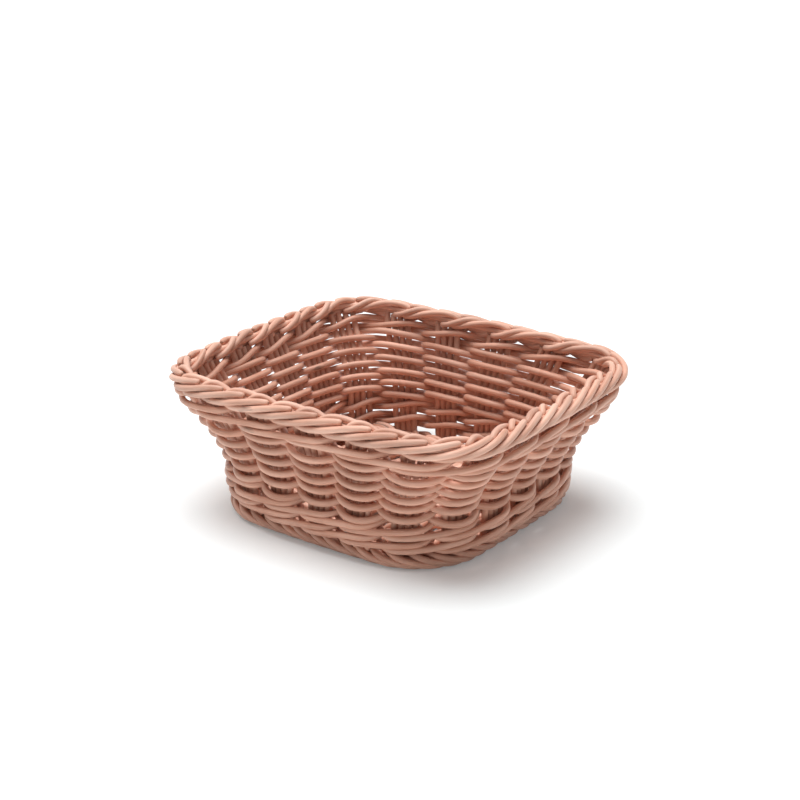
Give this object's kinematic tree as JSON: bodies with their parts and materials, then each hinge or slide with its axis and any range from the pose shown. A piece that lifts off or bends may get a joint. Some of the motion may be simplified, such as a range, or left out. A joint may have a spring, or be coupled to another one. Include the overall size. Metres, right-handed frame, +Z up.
{
  "type": "basket",
  "caption": "Open woven basket for pastries, rectangular with rounded corners, with flared walls, a twisted rope rim and a twisted rope foot.",
  "frame": {"origin": "centre of the foot's underside, on the surface that the basket stands on", "axes": "+Z up out of the open top, +X along the longer side"},
  "size_m": [0.2, 0.1744, 0.0768],
  "materials": {
    "stake_rods": "satin extruded plastic rod, terracotta peach, slightly darker between the weavers",
    "wall_rods": "satin extruded plastic rod, terracotta peach, with fine lengthwise streaks and dark flecks",
    "border_rods": "satin extruded plastic rod, pale terracotta peach, with fine lengthwise streaks and dark flecks",
    "base_rods": "satin extruded plastic rod, terracotta peach, with fine lengthwise streaks"
  },
  "bodies": {
    "root": {"stake_group_01": "stake_rods", "stake_group_02": "stake_rods", "stake_group_03": "stake_rods", "stake_group_04": "stake_rods", "stake_group_05": "stake_rods", "stake_group_06": "stake_rods", "stake_group_07": "stake_rods", "stake_group_08": "stake_rods", "stake_group_09": "stake_rods", "stake_group_10": "stake_rods", "stake_group_11": "stake_rods", "stake_group_12": "stake_rods", "stake_group_13": "stake_rods", "stake_group_14": "stake_rods", "stake_group_15": "stake_rods", "stake_group_16": "stake_rods", "stake_group_17": "stake_rods", "stake_group_18": "stake_rods", "stake_group_19": "stake_rods", "stake_group_20": "stake_rods", "stake_group_21": "stake_rods", "lower_wale_rod_01": "wall_rods", "lower_wale_rod_02": "wall_rods", "lower_wale_rod_03": "wall_rods", "lower_wale_rod_04": "wall_rods", "lower_wale_rod_05": "wall_rods", "lower_wale_rod_06": "wall_rods", "wall_weaver_01": "wall_rods", "wall_weaver_02": "wall_rods", "wall_weaver_03": "wall_rods", "wall_weaver_04": "wall_rods", "wall_weaver_05": "wall_rods", "wall_weaver_06": "wall_rods", "wall_weaver_07": "wall_rods", "wall_weaver_08": "wall_rods", "upper_wale_rod_01": "wall_rods", "upper_wale_rod_02": "wall_rods", "upper_wale_rod_03": "wall_rods", "rim_border": "border_rods", "foot_border": "border_rods", "base_stick_01": "base_rods", "base_stick_02": "base_rods", "base_stick_03": "base_rods", "base_stick_04": "base_rods", "base_stick_05": "base_rods", "base_stick_06": "base_rods", "base_stick_07": "base_rods", "base_band_01": "base_rods", "base_band_02": "base_rods", "base_band_03": "base_rods", "base_band_04": "base_rods", "base_band_05": "base_rods", "base_band_06": "base_rods", "base_band_07": "base_rods", "base_band_08": "base_rods", "base_band_09": "base_rods", "base_band_10": "base_rods", "base_band_11": "base_rods"}
  },
  "joints": []
}
